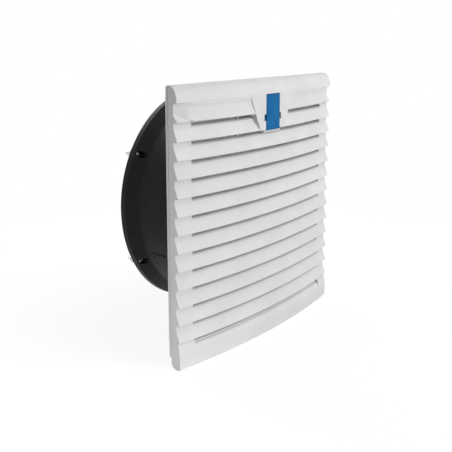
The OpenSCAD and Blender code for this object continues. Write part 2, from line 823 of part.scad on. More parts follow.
module bearings() {
    color([0.78, 0.79, 0.80])
        for (y = [tube_y0 + 2, base_y + base_t - 2.5 - bearing_l - 1])
            along_y()
                translate([0, 0, y])
                    difference() {
                        cylinder(h = bearing_l, r = bearing_r);
                        translate([0, 0, -1])
                            cylinder(h = bearing_l + 2, r = shaft_r + run_fit);
                    }
}

module shaft() {
    color([0.80, 0.81, 0.82])
        along_y()
            translate([0, 0, can_y0])
                cylinder(h = base_y + base_t - 3.5 - can_y0, r = shaft_r);
}

module rotor_can() {
    color([0.13, 0.13, 0.14])
        along_y()
            rotate_extrude()
                polygon([[shaft_r + press_gap, can_y0], [can_r - 6, can_y0], [can_r - 2, can_y0 + 1.5],
                    [can_r, can_y0 + 5], [can_r, can_y1], [can_r - can_wall, can_y1],
                    [can_r - can_wall, can_y0 + 6], [can_r - can_wall - 4, can_y0 + 3],
                    [shaft_r + 5, can_y0 + 3], [shaft_r + 4, can_y0 + 6], [shaft_r + press_gap, can_y0 + 6]]);
}

module rotor_core() {
    color([0.50, 0.50, 0.52])
        along_y()
            translate([0, 0, stack_y - 1])
                difference() {
                    cylinder(h = stack_l + 2, r = core_out);
                    translate([0, 0, -1])
                        cylinder(h = stack_l + 4, r = core_in);
                }
}

// Point on a blade at radius r and chord position u from -0.5 to 0.5, on its rear or front face
function vane_pt(r, u, side) =
    let (k = (r - root_r) / (vane_tip - root_r),
        b = hub_angle + (tip_angle - hub_angle) * k,
        c = hub_chord + (tip_chord - hub_chord) * k,
        m = 0.06 * c * (1 - 4 * u * u) + side * vane_t / 2 * (1 - 2.4 * u * u),
        ax = u * c * sin(b) + m * cos(b),
        tn = u * c * cos(b) - m * sin(b),
        a = vane_sweep * k * k + tn / r * 180 / PI)
    [r * cos(a), vane_y + ax, r * sin(a)];

// One twisted and cambered blade, lofted from the hub to the tip
module vane() {
    nu = 8;
    nr = 8;
    row = nu + 1;
    low = row * (nr + 1);
    pts = [for (side = [1, -1], j = [0:nr], i = [0:nu])
        vane_pt(root_r + (vane_tip - root_r) * j / nr, i / nu - 0.5, side)];
    quads = concat(
        [for (j = [0:nr - 1], i = [0:nu - 1])
            [j * row + i, (j + 1) * row + i, (j + 1) * row + i + 1, j * row + i + 1]],
        [for (j = [0:nr - 1], i = [0:nu - 1])
            [low + j * row + i + 1, low + (j + 1) * row + i + 1, low + (j + 1) * row + i, low + j * row + i]],
        [for (j = [0:nr - 1]) [(j + 1) * row, j * row, low + j * row, low + (j + 1) * row]],
        [for (j = [0:nr - 1])
            [j * row + nu, (j + 1) * row + nu, low + (j + 1) * row + nu, low + j * row + nu]],
        [for (i = [0:nu - 1]) [i, i + 1, low + i + 1, low + i]],
        [for (i = [0:nu - 1])
            [nr * row + i + 1, nr * row + i, low + nr * row + i, low + nr * row + i + 1]]);
    polyhedron(points = pts, faces = [for (q = quads) each [[q[0], q[1], q[2]], [q[0], q[2], q[3]]]]);
}

module impeller() {
    color([0.12, 0.12, 0.13]) {
        along_y()
            rotate_extrude()
                polygon([[hub_in, can_y0 + 2], [hub_out, can_y0 + 2], [hub_out, can_y1 - 1], [hub_in, can_y1 - 1]]);
        for (k = [0:vane_n - 1])
            rotate([0, k * 360 / vane_n, 0])
                vane();
    }
}

module finger_guard() {
    color([0.80, 0.81, 0.82]) {
        for (k = [0:ring_n - 1])
            along_y()
                translate([0, 0, ring_y])
                    rotate_extrude()
                        translate([ring_first + k * ring_step, 0])
                            circle(d = ring_wire_d);
        for (k = [0:guard_n - 1])
            rotate([0, -30 - k * 360 / guard_n, 0]) {
                translate([ring_first - 2, wire_y, 0])
                    rotate([0, 90, 0])
                        cylinder(h = guard_r - eye_r - ring_first + 2, d = spoke_wire_d);
                translate([guard_r, wire_y, 0])
                    along_y()
                        rotate_extrude()
                            translate([eye_r, 0])
                                circle(d = spoke_wire_d);
            }
    }
}

module guard_screws() {
    color([0.78, 0.79, 0.80])
        for (k = [0:guard_n - 1]) {
            post(guard_r, 30 + k * 360 / guard_n, 2 * head_r, floor_y - head_h, floor_y);
            post(guard_r, 30 + k * 360 / guard_n, screw_d, floor_y - 1, nut_y + nut_t + 3);
        }
}

module guard_washers() {
    color([0.78, 0.79, 0.80])
        for (k = [0:guard_n - 1])
            difference() {
                post(guard_r, 30 + k * 360 / guard_n, 2 * eye_r + 1.4, washer_y, washer_y + washer_t);
                post(guard_r, 30 + k * 360 / guard_n, screw_d + 0.4, washer_y - 1, washer_y + washer_t + 1);
            }
}

module guard_nuts() {
    color([0.78, 0.79, 0.80])
        for (k = [0:guard_n - 1])
            difference() {
                rotate([0, -30 - k * 360 / guard_n, 0])
                    translate([guard_r, nut_y, 0])
                        along_y()
                            cylinder(h = nut_t, d = 2 * screw_d, $fn = 6);
                post(guard_r, 30 + k * 360 / guard_n, screw_d + 2 * press_gap, nut_y - 1, nut_y + nut_t + 1);
            }
}

module fan_screws() {
    color([0.78, 0.79, 0.80])
        for (a = [45:90:315]) {
            post(fan_pcd / 2, a, 2 * head_r, rear_y - head_h, rear_y);
            post(fan_pcd / 2, a, screw_d, rear_y - 1, fan_y0 + boss_l - 2);
        }
}

module terminal_block() {
    color([0.20, 0.21, 0.22])
        translate([block_at, collar_depth, -block_at])
            difference() {
                translate([-block_w / 2, 0, -block_h / 2])
                    cube([block_w, block_d, block_h]);
                for (x = [-1, 1])
                    translate([x * (block_w / 2 - 3.5), 4, 0])
                        translate([-3.6, 0, -block_h])
                            cube([7.2, block_d, 2 * block_h]);
                for (x = [-1, 1])
                    translate([x * (block_w / 2 - 3.5), -1, 0])
                        along_y()
                            cylinder(h = 10, d = 3);
                for (x = [-1:1]) {
                    translate([x * 6.5, 8, 0])
                        along_y()
                            cylinder(h = block_d, d = 4 + 2 * press_gap);
                    translate([x * 6.5, 5.5, -block_h / 2 - 1])
                        cylinder(h = block_h / 2 + 1, d = 3.6);
                }
            }
}

module terminal_screws() {
    color([0.78, 0.79, 0.80])
        translate([block_at, collar_depth, -block_at])
            for (x = [-1:1])
                translate([x * 6.5, 8, 0])
                    along_y()
                        difference() {
                            cylinder(h = block_d - 10, d = 4);
                            translate([-3, -0.4, block_d - 11])
                                cube([6, 0.8, 2]);
                        }
}

module block_screws() {
    color([0.78, 0.79, 0.80])
        translate([block_at, collar_depth, -block_at])
            for (x = [-1, 1])
                translate([x * (block_w / 2 - 3.5), 0, 0])
                    along_y() {
                        translate([0, 0, 4])
                            cylinder(h = 2, d = 5);
                        translate([0, 0, -rear_t])
                            cylinder(h = rear_t + 5, d = 2.6);
                    }
}

mounting_frame();
gasket();
filter_mat();
front_cover();
latch_lever();
latch_pin();
hinge_pins();
fan_housing();
stator_core();
stator_windings();
bearings();
shaft();
rotor_can();
rotor_core();
impeller();
finger_guard();
guard_screws();
guard_washers();
guard_nuts();
fan_screws();
terminal_block();
terminal_screws();
block_screws();
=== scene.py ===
# Cabinet filter fan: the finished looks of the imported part, in metres, in the same frame.

import math

import bmesh
import bpy
from mathutils import Matrix, Vector, noise


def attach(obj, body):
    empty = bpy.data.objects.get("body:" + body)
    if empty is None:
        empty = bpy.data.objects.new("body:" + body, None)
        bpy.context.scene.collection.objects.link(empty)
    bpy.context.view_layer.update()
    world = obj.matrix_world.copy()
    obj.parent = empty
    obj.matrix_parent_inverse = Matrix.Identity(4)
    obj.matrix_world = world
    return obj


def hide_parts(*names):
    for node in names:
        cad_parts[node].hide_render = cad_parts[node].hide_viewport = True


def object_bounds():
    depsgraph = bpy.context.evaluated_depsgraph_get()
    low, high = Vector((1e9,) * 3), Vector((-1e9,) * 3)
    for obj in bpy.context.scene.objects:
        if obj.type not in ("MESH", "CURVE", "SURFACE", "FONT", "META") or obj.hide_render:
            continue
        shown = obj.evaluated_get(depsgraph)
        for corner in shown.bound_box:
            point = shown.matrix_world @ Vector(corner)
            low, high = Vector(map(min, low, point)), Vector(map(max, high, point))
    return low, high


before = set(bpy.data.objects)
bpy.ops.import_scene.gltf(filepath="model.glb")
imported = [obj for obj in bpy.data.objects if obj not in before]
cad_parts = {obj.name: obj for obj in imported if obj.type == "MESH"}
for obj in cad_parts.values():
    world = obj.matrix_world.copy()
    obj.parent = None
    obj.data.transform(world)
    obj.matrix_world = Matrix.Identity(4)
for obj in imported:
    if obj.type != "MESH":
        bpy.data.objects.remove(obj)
cad_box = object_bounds()


# Mounting frame: the snap-in frame that sits in the cabinet wall and carries all the rest.
# One injection moulding in light grey plastic, with a spark-eroded surface as fine as paper.
# Its long outer edges are broken by a small radius.
frame_edge = 0.0003
frame_edge_shortest = 0.006


def paint(red, green, blue):
    """Linear colour from screen values of 0 to 255."""
    shares = (red / 255, green / 255, blue / 255)
    return tuple(v / 12.92 if v < 0.04 else ((v + 0.055) / 1.055) ** 2.4 for v in shares)


def new_finish(name, colour, rough, metal=0.0, shine=0.5):
    """Material of one colour and gloss, to which patterns can be added."""
    finish = bpy.data.materials.new(name)
    finish.use_nodes = True
    shader = finish.node_tree.nodes["Principled BSDF"]
    shader.inputs["Base Color"].default_value = (*colour, 1.0)
    shader.inputs["Roughness"].default_value = rough
    shader.inputs["Metallic"].default_value = metal
    shader.inputs["Specular IOR Level"].default_value = shine
    return finish


def grain(finish, spots, detail, stretch=(1.0, 1.0, 1.0)):
    """Cloudy pattern on the piece's own coordinates, with so many spots to the metre."""
    tree = finish.node_tree
    place = tree.nodes.new("ShaderNodeTexCoord")
    fit = tree.nodes.new("ShaderNodeMapping")
    fit.inputs["Scale"].default_value = stretch
    cloud = tree.nodes.new("ShaderNodeTexNoise")
    cloud.inputs["Scale"].default_value = spots
    cloud.inputs["Detail"].default_value = detail
    tree.links.new(place.outputs["Object"], fit.inputs["Vector"])
    tree.links.new(fit.outputs["Vector"], cloud.inputs["Vector"])
    return cloud.outputs["Fac"]


def tint(finish, pattern, dark, light, low=0.35, high=0.65):
    """Lets the base colour change between two tones with a pattern."""
    tree = finish.node_tree
    ramp = tree.nodes.new("ShaderNodeValToRGB")
    ramp.color_ramp.elements[0].position = low
    ramp.color_ramp.elements[0].color = (*dark, 1.0)
    ramp.color_ramp.elements[1].position = high
    ramp.color_ramp.elements[1].color = (*light, 1.0)
    tree.links.new(pattern, ramp.inputs["Fac"])
    tree.links.new(ramp.outputs["Color"], tree.nodes["Principled BSDF"].inputs["Base Color"])


def vary_gloss(finish, pattern, smooth, rough, low=0.3, high=0.7):
    """Lets the roughness change between two levels with a pattern."""
    tree = finish.node_tree
    span = tree.nodes.new("ShaderNodeMapRange")
    span.inputs["From Min"].default_value = low
    span.inputs["From Max"].default_value = high
    span.inputs["To Min"].default_value = smooth
    span.inputs["To Max"].default_value = rough
    tree.links.new(pattern, span.inputs["Value"])
    tree.links.new(span.outputs["Result"], tree.nodes["Principled BSDF"].inputs["Roughness"])


def dimple(finish, pattern, depth, strength):
    """Adds a fine relief to those that the finish already has."""
    tree = finish.node_tree
    normal = tree.nodes["Principled BSDF"].inputs["Normal"]
    relief = tree.nodes.new("ShaderNodeBump")
    relief.inputs["Distance"].default_value = depth
    relief.inputs["Strength"].default_value = strength
    if normal.is_linked:
        tree.links.new(normal.links[0].from_socket, relief.inputs["Normal"])
    tree.links.new(pattern, relief.inputs["Height"])
    tree.links.new(relief.outputs["Normal"], normal)


def merged_copy(node, weld=1e-6):
    """Closed copy of a solid's mesh with its flat faces whole again."""
    flat = math.radians(0.2)
    bm = bmesh.new()
    bm.from_mesh(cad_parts[node].data)
    bmesh.ops.remove_doubles(bm, verts=bm.verts, dist=weld)
    bmesh.ops.dissolve_limit(bm, angle_limit=flat, verts=bm.verts, edges=bm.edges)
    return bm


def piece_from(bm, name, finish, body, replaced, crease=30):
    """Makes the finished piece, which rides on a body and stands for the solids it replaces."""
    for face in bm.faces:
        face.smooth = True
    mesh = bpy.data.meshes.new(name)
    bm.to_mesh(mesh)
    bm.free()
    if "custom_normal" in mesh.attributes:
        mesh.attributes.remove(mesh.attributes["custom_normal"])
    mesh.set_sharp_from_angle(angle=math.radians(crease))
    mesh.materials.append(finish)
    piece = bpy.data.objects.new(name, mesh)
    bpy.context.scene.collection.objects.link(piece)
    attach(piece, body)
    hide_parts(*replaced)
    return piece


def break_edges(piece, radius, shortest=0.0):
    """Rounds the outward edges of a piece that are longer than a limit."""
    sharp = math.radians(35)
    bm = bmesh.new()
    bm.from_mesh(piece.data)
    chosen = bm.edges.layers.float.new("bevel_weight_edge")
    for edge in bm.edges:
        outward = edge.is_contiguous and edge.calc_face_angle_signed() > sharp
        edge[chosen] = 1.0 if outward and edge.calc_length() > shortest else 0.0
    bm.to_mesh(piece.data)
    bm.free()
    rounding = piece.modifiers.new("broken_edges", "BEVEL")
    rounding.width = radius
    rounding.segments = 2
    rounding.limit_method = "WEIGHT"
    rounding.use_clamp_overlap = False
    rounding.harden_normals = True


grey_plastic = new_finish("light_grey_plastic", paint(216, 216, 216), rough=0.46, shine=0.3)
tint(grey_plastic, grain(grey_plastic, spots=24, detail=4),
    dark=paint(213, 213, 213), light=paint(219, 219, 219))
vary_gloss(grey_plastic, grain(grey_plastic, spots=110, detail=3), smooth=0.40, rough=0.52)
dimple(grey_plastic, grain(grey_plastic, spots=1500, detail=2), depth=0.00005, strength=0.3)

snap_frame = piece_from(merged_copy("mounting_frame"), "snap_in_frame", grey_plastic,
    "frame_body", ["mounting_frame"])
break_edges(snap_frame, frame_edge, frame_edge_shortest)


# Gasket: a strip of closed-cell foam in the groove round the back of the flange.
# It is glued in as one ring, and its free face is crowned and stands a little proud.
gasket_half = 0.15045
gasket_corner = 0.005
gasket_strip = 0.0039
gasket_rise = 0.0018
gasket_crown = 0.0012
gasket_foot = -0.0012


def push(bm, faces, way):
    """Draws faces out along a vector and returns the corners that moved."""
    drawn = bmesh.ops.extrude_face_region(bm, geom=faces)["geom"]
    moved = [v for v in drawn if isinstance(v, bmesh.types.BMVert)]
    bmesh.ops.translate(bm, vec=way, verts=moved)
    return moved


foam = new_finish("foam", paint(46, 46, 47), rough=0.95)
tint(foam, grain(foam, spots=900, detail=3), dark=paint(34, 34, 35), light=paint(58, 58, 59))
dimple(foam, grain(foam, spots=1600, detail=1), depth=0.0003, strength=0.8)

bm = bmesh.new()
corners = bmesh.ops.create_grid(bm, x_segments=1, y_segments=1, size=gasket_half)["verts"]
bmesh.ops.bevel(bm, geom=corners, offset=gasket_corner, segments=8, profile=0.5,
    affect="VERTICES", material=-1)
bmesh.ops.inset_region(bm, faces=bm.faces[:], thickness=gasket_strip, use_boundary=True,
    use_even_offset=True)
middle = [f for f in bm.faces if f.calc_center_median().length < gasket_strip / 2]
bmesh.ops.delete(bm, geom=middle, context="FACES")
push(bm, bm.faces[:], (0, 0, gasket_rise))
rims = [e for e in bm.edges if all(v.co.z > gasket_rise / 2 for v in e.verts)
    and any(abs(f.normal.z) < 0.5 for f in e.link_faces)]
bmesh.ops.bevel(bm, geom=rims, offset=gasket_crown, segments=4, profile=0.5, affect="EDGES",
    material=-1)
to_the_back = Matrix.Rotation(math.radians(-90), 3, "X")
bmesh.ops.rotate(bm, cent=(0, 0, 0), matrix=to_the_back, verts=bm.verts)
bmesh.ops.translate(bm, vec=(0, gasket_foot, 0), verts=bm.verts)
bmesh.ops.recalc_face_normals(bm, faces=bm.faces)
gasket = piece_from(bm, "foam_gasket", foam, "frame_body", ["gasket"], crease=50)


# Fan barrel: the round housing behind the frame, with the spokes and the base of the motor.
# A black-painted die casting with a flared rear rim and a pocket for each screw head.
# Four screws from the frame hold it.
barrel_edge = 0.0004
barrel_edge_shortest = 0.002

black_casting = new_finish("black_casting", paint(18, 18, 19), rough=0.42, shine=0.14)
tint(black_casting, grain(black_casting, spots=60, detail=4),
    dark=paint(15, 15, 16), light=paint(22, 22, 23))
vary_gloss(black_casting, grain(black_casting, spots=240, detail=4), smooth=0.34, rough=0.50)
dimple(black_casting, grain(black_casting, spots=900, detail=3), depth=0.00012, strength=0.3)

# Faces with many corners are split first, because the rounding tears those that go round a boss.
bm = merged_copy("fan_housing")
many_cornered = [f for f in bm.faces if len(f.verts) > 4]
bmesh.ops.triangulate(bm, faces=many_cornered)
barrel = piece_from(bm, "fan_barrel", black_casting, "frame_body",
    ["fan_housing"])
break_edges(barrel, barrel_edge, barrel_edge_shortest)


# Motor: stator stack with its two winding heads on the bearing tube, bearings, shaft and rotor.
# The stack is thin sheet steel, the wire enamelled copper and the rotor cup painted steel.
# The stack is pressed on the tube, and the shaft in the cup runs in the bearings.
cup_edge = 0.0005
along_shaft = (1, 0.15, 1)


def dress(node, finish):
    """Gives a solid that is shown as it is its finish."""
    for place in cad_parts[node].material_slots:
        place.material = finish


lamination = new_finish("lamination", paint(120, 122, 126), rough=0.5, metal=0.9)
tint(lamination, grain(lamination, spots=40, detail=2, stretch=(1, 40, 1)),
    dark=paint(96, 98, 102), light=paint(140, 142, 146))
dimple(lamination, grain(lamination, spots=40, detail=1, stretch=(1, 50, 1)),
    depth=0.0002, strength=0.6)
for node in ("stator_core", "rotor_core"):
    dress(node, lamination)

copper = new_finish("enamelled_copper", paint(160, 92, 44), rough=0.32, metal=0.85)
tint(copper, grain(copper, spots=700, detail=2, stretch=along_shaft),
    dark=paint(126, 66, 28), light=paint(186, 112, 58))
dimple(copper, grain(copper, spots=700, detail=2, stretch=along_shaft),
    depth=0.0005, strength=0.9)
dress("stator_windings", copper)

ground_steel = new_finish("ground_steel", paint(196, 197, 199), rough=0.24, metal=1.0)
vary_gloss(ground_steel, grain(ground_steel, spots=300, detail=3, stretch=(1, 6, 1)),
    smooth=0.18, rough=0.32)
dimple(ground_steel, grain(ground_steel, spots=900, detail=2, stretch=(0.2, 3, 0.2)),
    depth=0.00003, strength=0.3)
for node in ("bearings", "shaft"):
    dress(node, ground_steel)

black_steel = new_finish("black_steel", paint(30, 30, 32), rough=0.36, shine=0.2)
tint(black_steel, grain(black_steel, spots=80, detail=3),
    dark=paint(26, 26, 28), light=paint(36, 36, 38))
vary_gloss(black_steel, grain(black_steel, spots=300, detail=3), smooth=0.30, rough=0.44)
dimple(black_steel, grain(black_steel, spots=700, detail=2), depth=0.0001, strength=0.25)
cup = piece_from(merged_copy("rotor_can"), "rotor_cup", black_steel, "rotor",
    ["rotor_can"])
break_edges(cup, cup_edge)


# Impeller: seven twisted blades on a sleeve that is pressed over the rotor cup.
# Moulded in black glass-filled plastic, a little duller than the casting round it.
blade_edge = 0.0004

black_plastic = new_finish("black_plastic", paint(38, 38, 40), rough=0.52, shine=0.3)
tint(black_plastic, grain(black_plastic, spots=50, detail=4),
    dark=paint(34, 34, 36), light=paint(43, 43, 45))
vary_gloss(black_plastic, grain(black_plastic, spots=180, detail=3, stretch=(1, 1, 0.3)),
    smooth=0.44, rough=0.60)
dimple(black_plastic, grain(black_plastic, spots=1200, detail=2), depth=0.00008, strength=0.3)

impeller = piece_from(merged_copy("impeller"), "impeller_blades", black_plastic, "rotor",
    ["impeller"], crease=40)
break_edges(impeller, blade_edge)


# Finger guard: rings and spokes of bright drawn wire, welded where they cross.
# It lies on the rear rim of the barrel, with an eyelet at each screw.
bright_wire = new_finish("bright_wire", paint(206, 207, 208), rough=0.24, metal=1.0)
tint(bright_wire, grain(bright_wire, spots=120, detail=3),
    dark=paint(192, 193, 194), light=paint(214, 215, 216))
vary_gloss(bright_wire, grain(bright_wire, spots=500, detail=3), smooth=0.18, rough=0.32)
dress("finger_guard", bright_wire)


# Screws of the guard: pan heads with a cross recess, in the pockets of the rim.
# Steel with a bright zinc coat, M4, with the thread only on the end behind the rim.
guard_ring = 0.1332
guard_first = 30
guard_count = 6
head_r = 0.0035
head_h = 0.0027
head_top = 0.0868
shank_r = 0.002
shank_end = 0.1072
core_r = 0.0016
sleeve_bore = 0.0012
thread_from = 0.1000
thread_pitch = 0.0007
thread_short = 0.0004


def on_ring(radius, first, count):
    """Places round a ring as x, z and angle, the first one at so many degrees."""
    turns = [math.radians(first + k * 360 / count) for k in range(count)]
    return [(radius * math.cos(a), radius * math.sin(a), a) for a in turns]


def turned(outline, x, z, steps, closed=False):
    """Turned shape about an axis along Y, from an outline of radius and depth."""
    bm = bmesh.new()
    points = [bm.verts.new((x + r, y, z)) for r, y in outline]
    ahead = points[1:] + points[:1] if closed else points[1:]
    lines = [bm.edges.new(pair) for pair in zip(points, ahead)]
    bmesh.ops.spin(bm, geom=points + lines, cent=(x, 0, z), axis=(0, 1, 0), angle=2 * math.pi,
        steps=steps, use_merge=True)
    bmesh.ops.remove_doubles(bm, verts=bm.verts, dist=1e-7)
    bmesh.ops.recalc_face_normals(bm, faces=bm.faces)
    return bm


def press_cross(bm, x, z, top, way, reach, arm, depth):
    """Presses a cross recess that narrows with its depth into a head round (x, z)."""
    skin = 0.3 * depth
    narrow = 0.6

    def on_top(face):
        spot = face.calc_center_median()
        return math.hypot(spot.x - x, spot.z - z) < reach and (spot.y - top) * way < skin

    def on_arm(face):
        spot = face.calc_center_median()
        return min(abs(spot.x - x), abs(spot.z - z)) < arm

    for normal in ((1, 0, 0), (0, 0, 1)):
        for side in (-arm, arm):
            faces = [f for f in bm.faces if on_top(f)]
            edges = {e for f in faces for e in f.edges}
            verts = {v for f in faces for v in f.verts}
            bmesh.ops.bisect_plane(bm, geom=faces + list(edges) + list(verts), dist=1e-8,
                plane_co=(x + side * normal[0], 0, z + side * normal[2]), plane_no=normal)
    cross = [f for f in bm.faces if on_top(f) and on_arm(f)]
    low = push(bm, cross, (0, way * depth, 0))
    bmesh.ops.scale(bm, vec=(narrow, 1, narrow), space=Matrix.Translation((-x, 0, -z)),
        verts=low)
    bmesh.ops.delete(bm, geom=cross, context="FACES")


def pan_screw(x, z, top, way, r, h, shank, length):
    """Pan head screw whose head looks against way along Y."""
    reach = 0.58 * r
    head = [(0, 0), (reach, 0.05 * h), (0.72 * r, 0.14 * h), (0.88 * r, 0.34 * h),
        (0.97 * r, 0.62 * h), (r, 0.85 * h), (0.97 * r, h)]
    stem = [(shank, h), (shank, length - 0.3 * shank), (0.75 * shank, length), (0, length)]
    bm = turned([(a, top + way * b) for a, b in head + stem], x, z, steps=40)
    press_cross(bm, x, z, top, way, reach, arm=0.16 * r, depth=0.6 * h)
    bmesh.ops.recalc_face_normals(bm, faces=bm.faces)
    return bm


def trim(bm, spot, outward):
    """Cuts off what lies beyond a plane and closes the cut."""
    cut = bmesh.ops.bisect_plane(bm, geom=bm.verts[:] + bm.edges[:] + bm.faces[:], dist=1e-8,
        plane_co=spot, plane_no=outward, clear_outer=True)["geom_cut"]
    rim = [e for e in cut if isinstance(e, bmesh.types.BMEdge)]
    bmesh.ops.holes_fill(bm, edges=rim, sides=0)


def thread(x, z, start, end, r, pitch, steps=24):
    """Helical thread between two depths, closed at both ends."""
    groove = 0.55 * pitch
    lead_in = 2
    turns = int((end - start) / pitch + lead_in + 1)
    bm = bmesh.new()
    points = []
    for k in range(2 * turns + 1):
        depth = start - lead_in * pitch + k * pitch / 2
        points.append(bm.verts.new((x + r - (groove if k % 2 else 0), depth, z)))
    lines = [bm.edges.new(pair) for pair in zip(points, points[1:])]
    bmesh.ops.spin(bm, geom=points + lines, cent=(x, 0, z), axis=(0, 1, 0), angle=2 * math.pi,
        steps=steps, dvec=(0, pitch / steps, 0), use_merge=False)
    bmesh.ops.remove_doubles(bm, verts=bm.verts, dist=1e-6)
    trim(bm, (0, start, 0), (0, -1, 0))
    trim(bm, (0, end, 0), (0, 1, 0))
    bmesh.ops.recalc_face_normals(bm, faces=bm.faces)
    return bm


def gather(parts):
    """Joins shapes into one, each still a closed solid of its own."""
    whole = bmesh.new()
    for bm in parts:
        mesh = bpy.data.meshes.new("part")
        bm.to_mesh(mesh)
        bm.free()
        whole.from_mesh(mesh)
        bpy.data.meshes.remove(mesh)
    return whole


zinc = new_finish("bright_zinc", paint(200, 201, 202), rough=0.30, metal=1.0)
tint(zinc, grain(zinc, spots=260, detail=4), dark=paint(178, 180, 183), light=paint(212, 213, 213))
vary_gloss(zinc, grain(zinc, spots=900, detail=3), smooth=0.22, rough=0.40)
dimple(zinc, grain(zinc, spots=1800, detail=2), depth=0.00003, strength=0.3)

guard_spots = on_ring(guard_ring, guard_first, guard_count)
sleeve = [(sleeve_bore, head_top + head_h), (shank_r, head_top + head_h), (shank_r, thread_from),
    (sleeve_bore, thread_from)]
shapes = []
for x, z, angle in guard_spots:
    shapes.append(pan_screw(x, z, head_top, 1, head_r, head_h, core_r, shank_end - head_top))
    shapes.append(turned(sleeve, x, z, steps=32, closed=True))
    shapes.append(thread(x, z, thread_from, shank_end - thread_short, shank_r, thread_pitch))
piece_from(gather(shapes), "guard_pan_screws", zinc, "frame_body", ["guard_screws"])


# Washers and nuts of the guard: flat washers on the eyelets, hexagon nuts on top of them.
# Zinc-coated steel, M4. The washers are stamped with one rounder side, the nuts are chamfered.
washer_r = 0.0047
washer_bore = 0.0022
washer_front, washer_back = 0.1000, 0.1010
washer_burr = 0.00015
washer_round = 0.0002
nut_corner = 0.004
nut_front, nut_back = 0.1010, 0.1042
nut_bore = shank_r + 0.00002


def hex_nut(x, z, turn, start, end, corner, bore):
    """Hexagon nut, turned with its chamfers and then cut to six flats."""
    flat = corner * math.cos(math.radians(30))
    face_r = 0.96 * flat
    blank_r = 1.04 * corner
    lip = 0.12 * (end - start)
    slope = 1.6 * lip
    bm = turned([(bore + lip, start), (face_r, start), (blank_r, start + slope),
        (blank_r, end - slope), (face_r, end), (bore + lip, end), (bore, end - lip),
        (bore, start + lip)], x, z, steps=48, closed=True)
    for k in range(6):
        side = turn + math.radians(30 + 60 * k)
        out = Vector((math.cos(side), 0, math.sin(side)))
        trim(bm, Vector((x, 0, z)) + flat * out, out)
    bmesh.ops.recalc_face_normals(bm, faces=bm.faces)
    return bm


washer = [(washer_bore, washer_front), (washer_r - washer_burr, washer_front),
    (washer_r, washer_front + washer_burr), (washer_r, washer_back - washer_round),
    (washer_r - washer_round, washer_back), (washer_bore, washer_back)]
shapes = [turned(washer, x, z, steps=40, closed=True) for x, z, angle in guard_spots]
piece_from(gather(shapes), "guard_flat_washers", zinc, "frame_body",
    ["guard_washers"])
shapes = [hex_nut(x, z, angle, nut_front, nut_back, nut_corner, nut_bore)
    for x, z, angle in guard_spots]
piece_from(gather(shapes), "guard_hex_nuts", zinc, "frame_body", ["guard_nuts"],
    crease=20)


# Screws between frame and barrel: four pan heads inside the frame.
# Zinc-coated steel, M4, screwed into the barrel's bosses.
fan_ring = 0.1335
fan_first = 45
fan_count = 4
fan_head_top = 0.0108
fan_screw_end = 0.0240

shapes = [pan_screw(x, z, fan_head_top, 1, head_r, head_h, shank_r, fan_screw_end - fan_head_top)
    for x, z, angle in on_ring(fan_ring, fan_first, fan_count)]
piece_from(gather(shapes), "barrel_pan_screws", zinc, "frame_body", ["fan_screws"])


# Terminal block: three supply terminals on the back of the frame, in dark moulded plastic.
# Slotted clamp screws sit in their wells, and two small screws hold the block by its ears.
block_x, block_z = 0.119, -0.119
block_edge = 0.0004
clamp_edge = 0.0002
ear_spread = 0.0135
ear_head_r = 0.0025
ear_head_h = 0.002
ear_head_top = 0.0220
ear_shank_r = 0.0013
ear_screw_end = 0.0135

dark_plastic = new_finish("dark_plastic", paint(56, 58, 60), rough=0.45, shine=0.25)
tint(dark_plastic, grain(dark_plastic, spots=90, detail=3),
    dark=paint(51, 53, 55), light=paint(61, 63, 65))
vary_gloss(dark_plastic, grain(dark_plastic, spots=300, detail=3), smooth=0.38, rough=0.54)
dimple(dark_plastic, grain(dark_plastic, spots=1500, detail=2), depth=0.00006, strength=0.3)

block = piece_from(merged_copy("terminal_block"), "supply_terminals", dark_plastic,
    "frame_body", ["terminal_block"])
break_edges(block, block_edge)
clamps = piece_from(merged_copy("terminal_screws"), "clamp_screws", zinc, "frame_body",
    ["terminal_screws"])
break_edges(clamps, clamp_edge)
shapes = [pan_screw(block_x + side * ear_spread, block_z, ear_head_top, -1, ear_head_r,
    ear_head_h, ear_shank_r, ear_head_top - ear_screw_end) for side in (-1, 1)]
piece_from(gather(shapes), "block_pan_screws", zinc, "frame_body", ["block_screws"])


# Filter mat: a pad of bonded synthetic fibre, cut to size and laid on the ribs of the frame.
# It is flat where it rests on the ribs and swells a little into the cells between them.
# Its cut sides are slightly uneven and its rims are soft.
mat_low = (-0.140, -0.0055, -0.1375)
mat_high = (0.140, 0.0085, 0.1325)
mat_columns, mat_rows = 84, 82
mat_layers = 4
mat_layer = 0.0035
rib_step = 0.030
mat_swell = 0.0012
mat_fluff_spots = 70
mat_fluff_grain = (1.0, 2.0, 3)  # fall-off, step in scale and number of layers of the noise
mat_front_sink = 0.0005
mat_front_fluff = 0.0004
mat_side_sink = 0.0006
mat_side_fluff = 0.0005
mat_rim = 0.001
mat_side = 0.0005
mat_back_rim_sink = 0.0012
mat_front_rim_sink = 0.0014
hair = 1e-5

fibre = new_finish("filter_fibre", paint(236, 236, 235), rough=0.9)
strands = grain(fibre, spots=260, detail=5, stretch=(1.0, 1.0, 5.0))
cross_strands = grain(fibre, spots=420, detail=5, stretch=(5.0, 1.0, 1.0))
tint(fibre, strands, dark=paint(214, 214, 213), light=paint(243, 243, 242))
dimple(fibre, strands, depth=0.0008, strength=0.7)
dimple(fibre, cross_strands, depth=0.0006, strength=0.6)
fibre.node_tree.nodes["Principled BSDF"].inputs["Sheen Weight"].default_value = 0.3

